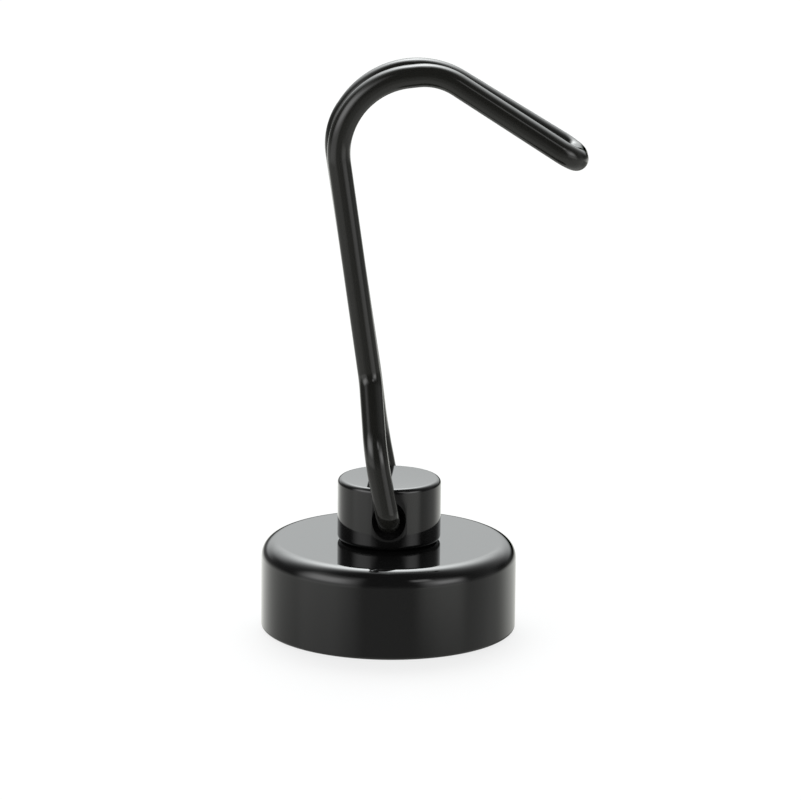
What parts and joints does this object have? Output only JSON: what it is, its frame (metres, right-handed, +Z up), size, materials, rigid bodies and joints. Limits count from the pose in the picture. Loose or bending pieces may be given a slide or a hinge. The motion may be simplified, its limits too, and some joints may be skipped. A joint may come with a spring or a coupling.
{
  "type": "magnetic swivel hook",
  "caption": "Pot magnet with a turning post head and a folded wire J hook that swings in the post's cross bore.",
  "frame": {"origin": "centre of the magnetic face", "axes": "+Z up through the swivel head, away from the magnetic face; +X the side on which the hook's tip lies; Y along the head's cross bore"},
  "size_m": [0.0251, 0.02, 0.045],
  "materials": {
    "black_plating": "gloss black coating on turned steel",
    "black_wire_coat": "gloss black coating on round steel wire",
    "nickel_plate": "bright nickel plate, fine circular grain",
    "black_epoxy": "cured black epoxy",
    "plain_steel": "turned steel, unplated"
  },
  "bodies": {
    "pot": {"pot_cup": "black_plating", "disc_magnet": "nickel_plate", "epoxy_ring": "black_epoxy", "thrust_washer": "plain_steel"},
    "head": {"swivel_head": "black_plating", "shoulder_screw": "plain_steel"},
    "hook": {"wire_hook": "black_wire_coat"}
  },
  "joints": [
    {"name": "head_swivel", "type": "hinge", "parent": "pot", "child": "head", "pos_m": [0, 0, 0.007], "axis": [0, 0, 1], "continuous": true},
    {"name": "hook_swing", "type": "hinge", "parent": "head", "child": "hook", "pos_m": [0, 0, 0.0095], "axis": [0, 1, 0], "range_deg": [-91, 78]}
  ]
}
